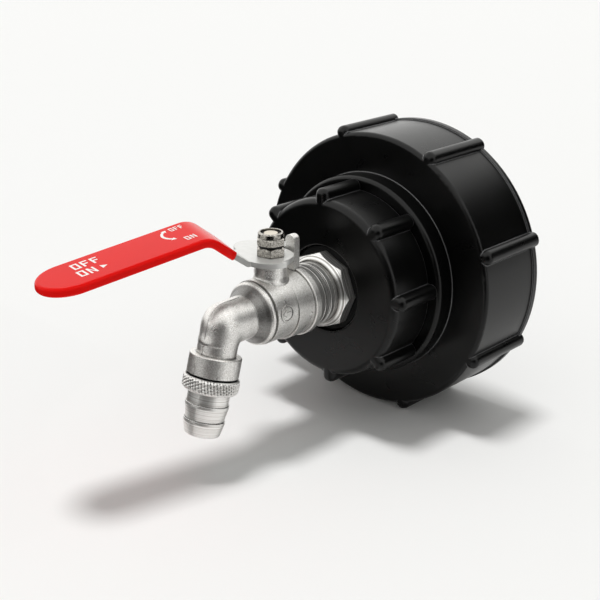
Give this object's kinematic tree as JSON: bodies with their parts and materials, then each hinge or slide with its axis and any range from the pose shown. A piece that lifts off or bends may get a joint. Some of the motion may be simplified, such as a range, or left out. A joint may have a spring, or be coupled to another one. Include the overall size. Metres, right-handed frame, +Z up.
{
  "type": "container tank valve",
  "caption": "Ball tap with a lever and a barbed hose tail on a small ribbed screw cap, carried by a large ribbed screw cap for a bulk container outlet.",
  "frame": {"origin": "centre of the tank cap's open mouth, where the tank's outlet enters", "axes": "+Y along the pipe axis towards the tank, out of the tank cap's mouth; +Z up along the tap's stem; the tap points to -Y"},
  "size_m": [0.1154, 0.1827, 0.1154],
  "materials": {
    "cap_plastic": "satin moulded",
    "rubber": "matte",
    "nickel_brass": "nickel plated, blasted",
    "turned_brass": "nickel plated, turned",
    "chromed_ball": "polished",
    "white_seat": "waxy",
    "plated_steel": "zinc plated",
    "nut_steel": "plated, machined",
    "red_vinyl": "dipped vinyl, satin gloss"
  },
  "bodies": {
    "tank_side": {"tank_cap": "cap_plastic", "tank_seal": "rubber"},
    "cap_gasket": {"cap_seal": "rubber"},
    "tap": {"small_cap": "cap_plastic", "inlet_gasket": "rubber", "inlet_connector": "nickel_brass", "body_seal": "rubber", "valve_body": "nickel_brass", "front_seat": "white_seat", "rear_seat": "white_seat", "stem_washer": "white_seat"},
    "lever": {"ball": "chromed_ball", "stem": "turned_brass", "lower_stem_ring": "rubber", "upper_stem_ring": "rubber", "lever_plate": "plated_steel", "lever_sleeve": "red_vinyl", "handle_nut": "nut_steel", "spring_washer": "nut_steel", "lock_nut": "nut_steel", "nylon_insert": "white_seat"},
    "spout_gasket": {"outlet_gasket": "rubber"},
    "tail": {"hose_tail": "turned_brass"}
  },
  "joints": [
    {"name": "cap_advance", "type": "slide", "parent": "tank_side", "child": "cap_gasket", "axis": [0, -1, 0], "range_m": [0, 0.0121]},
    {"name": "cap_turn", "type": "hinge", "parent": "cap_gasket", "child": "tap", "pos_m": [0, -0.06, 0], "axis": [0, -1, 0], "range_deg": [0, 720]},
    {"name": "lever_turn", "type": "hinge", "parent": "tap", "child": "lever", "pos_m": [0, -0.093, 0], "axis": [0, 0, 1], "range_deg": [0, 90]},
    {"name": "tail_advance", "type": "slide", "parent": "tap", "child": "spout_gasket", "axis": [0, -0.2588, -0.9659], "range_m": [0, 0.0046]},
    {"name": "tail_turn", "type": "hinge", "parent": "spout_gasket", "child": "tail", "pos_m": [0, -0.1186, 0], "axis": [0, -0.2588, -0.9659], "range_deg": [0, 1080]}
  ],
  "couplings": [
    {"joint": "cap_advance", "follows": "cap_turn", "m_per_rad": 0.00095493},
    {"joint": "tail_advance", "follows": "tail_turn", "m_per_rad": 0.00023873}
  ]
}
